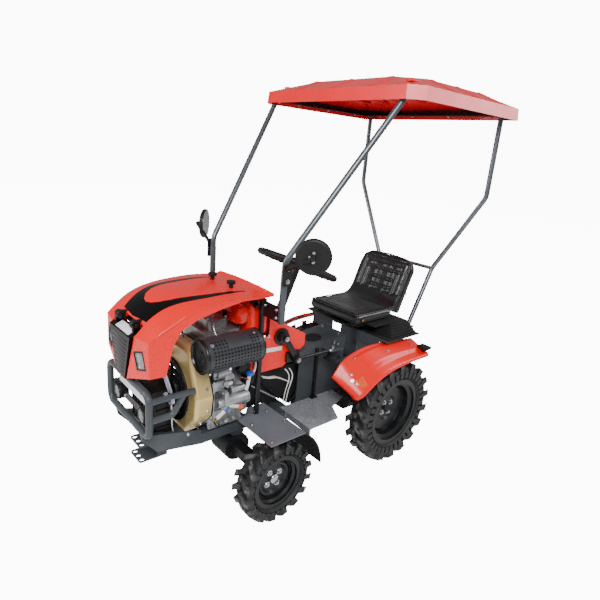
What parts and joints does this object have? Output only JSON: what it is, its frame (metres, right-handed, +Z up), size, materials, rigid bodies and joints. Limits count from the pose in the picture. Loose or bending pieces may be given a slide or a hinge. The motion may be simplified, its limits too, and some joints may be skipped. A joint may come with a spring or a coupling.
{
  "type": "compact ride-on tractor",
  "caption": "Small four-wheel ride-on tractor with an open engine, tilting hood, seat, canopy on posts and a front hitch.",
  "frame": {"origin": "on the ground under the middle of the tractor's length and width", "axes": "+X forward, +Y to the driver's left, +Z up"},
  "size_m": [1.656, 0.924, 1.7652],
  "materials": {
    "red_paint": "gloss red enamel on pressed sheet",
    "red_plastic": "vacuum-formed gloss red plastic",
    "grey_paint": "satin dark grey powder coat",
    "black_paint": "satin black powder coat",
    "black_plastic": "moulded black plastic",
    "gloss_black": "gloss black moulded plastic",
    "gold_paint": "champagne gold metallic paint",
    "cast_aluminium": "die-cast aluminium",
    "iron": "painted cast iron",
    "tyre_rubber": "black tyre rubber",
    "rubber": "black rubber",
    "vinyl": "black vinyl upholstery",
    "lamp_glass": "clear lamp lens",
    "red_lens": "red lamp lens",
    "white_plate": "blank white plate"
  },
  "bodies": {
    "chassis": {"bumper_guard": "grey_paint", "canopy_brackets": "grey_paint", "canopy_frame": "black_paint", "canopy_roof": "red_plastic", "chassis_frame": "grey_paint", "console_cover": "red_paint", "controls": "black_paint", "drive_housing": "iron", "engine_case": "cast_aluminium", "engine_head": "cast_aluminium", "fan_grille": "black_plastic", "fan_shroud": "gold_paint", "foot_plates": "grey_paint", "front_axle": "iron", "front_fenders": "grey_paint", "front_flaps": "rubber", "front_hitch": "grey_paint", "front_plate": "white_plate", "front_posts": "grey_paint", "fuel_tank": "red_paint", "gearbox": "iron", "guard_lamps": "lamp_glass", "lamp_bar": "black_paint", "mirrors": "black_plastic", "muffler": "black_paint", "nose_grille": "gloss_black", "rear_axle": "iron", "rear_fenders": "red_paint", "rear_hitch": "grey_paint", "rear_posts": "grey_paint", "seat_back": "vinyl", "seat_cushion": "vinyl", "seat_deck": "grey_paint", "seat_mount": "rubber", "shroud_gasket": "rubber", "starter_motor": "cast_aluminium", "steering_column": "black_paint", "tail_lamps": "red_lens", "tunnel_cover": "grey_paint"},
    "hood": {"hood": "red_paint", "hood_knobs": "black_plastic", "hood_lamps": "lamp_glass"},
    "steering_wheel": {"steering_wheel": "black_plastic"},
    "knuckle_left": {"knuckle_left": "iron"},
    "knuckle_right": {"knuckle_right": "iron"},
    "tie_rod": {"tie_rod": "black_paint"},
    "front_wheel_left": {"front_tyre_left": "tyre_rubber", "front_rim_left": "black_paint"},
    "front_wheel_right": {"front_tyre_right": "tyre_rubber", "front_rim_right": "black_paint"},
    "rear_wheel_left": {"rear_tyre_left": "tyre_rubber", "rear_rim_left": "black_paint"},
    "rear_wheel_right": {"rear_tyre_right": "tyre_rubber", "rear_rim_right": "black_paint"}
  },
  "joints": [
    {"name": "hood_tilt", "type": "hinge", "parent": "chassis", "child": "hood", "pos_m": [0.798, 0, 0.829], "axis": [0, 1, 0], "range_deg": [0, 50]},
    {"name": "steer_left", "type": "hinge", "parent": "chassis", "child": "knuckle_left", "pos_m": [0.341, 0.246, 0.169], "axis": [0, 0, 1], "range_deg": [-28, 28]},
    {"name": "steer_right", "type": "hinge", "parent": "chassis", "child": "knuckle_right", "pos_m": [0.341, -0.246, 0.169], "axis": [0, 0, 1], "range_deg": [-29, 29]},
    {"name": "tie_rod_swing", "type": "hinge", "parent": "knuckle_left", "child": "tie_rod", "pos_m": [0.251, 0.246, 0.228], "axis": [0, 0, 1], "range_deg": [-29, 29]},
    {"name": "steering_wheel_turn", "type": "hinge", "parent": "chassis", "child": "steering_wheel", "pos_m": [0.019, 0, 0.957], "axis": [-0.3827, 0, 0.9239], "range_deg": [-285, 285]},
    {"name": "front_left_roll", "type": "hinge", "parent": "knuckle_left", "child": "front_wheel_left", "pos_m": [0.341, 0.32, 0.169], "axis": [0, 1, 0], "continuous": true},
    {"name": "front_right_roll", "type": "hinge", "parent": "knuckle_right", "child": "front_wheel_right", "pos_m": [0.341, -0.32, 0.169], "axis": [0, 1, 0], "continuous": true},
    {"name": "rear_left_roll", "type": "hinge", "parent": "chassis", "child": "rear_wheel_left", "pos_m": [-0.388, 0.309, 0.254], "axis": [0, 1, 0], "continuous": true},
    {"name": "rear_right_roll", "type": "hinge", "parent": "chassis", "child": "rear_wheel_right", "pos_m": [-0.388, -0.309, 0.254], "axis": [0, 1, 0], "continuous": true}
  ],
  "couplings": [
    {"joint": "steer_right", "follows": "steer_left", "ratio": 1},
    {"joint": "tie_rod_swing", "follows": "steer_left", "ratio": -1},
    {"joint": "steering_wheel_turn", "follows": "steer_left", "ratio": 10}
  ]
}
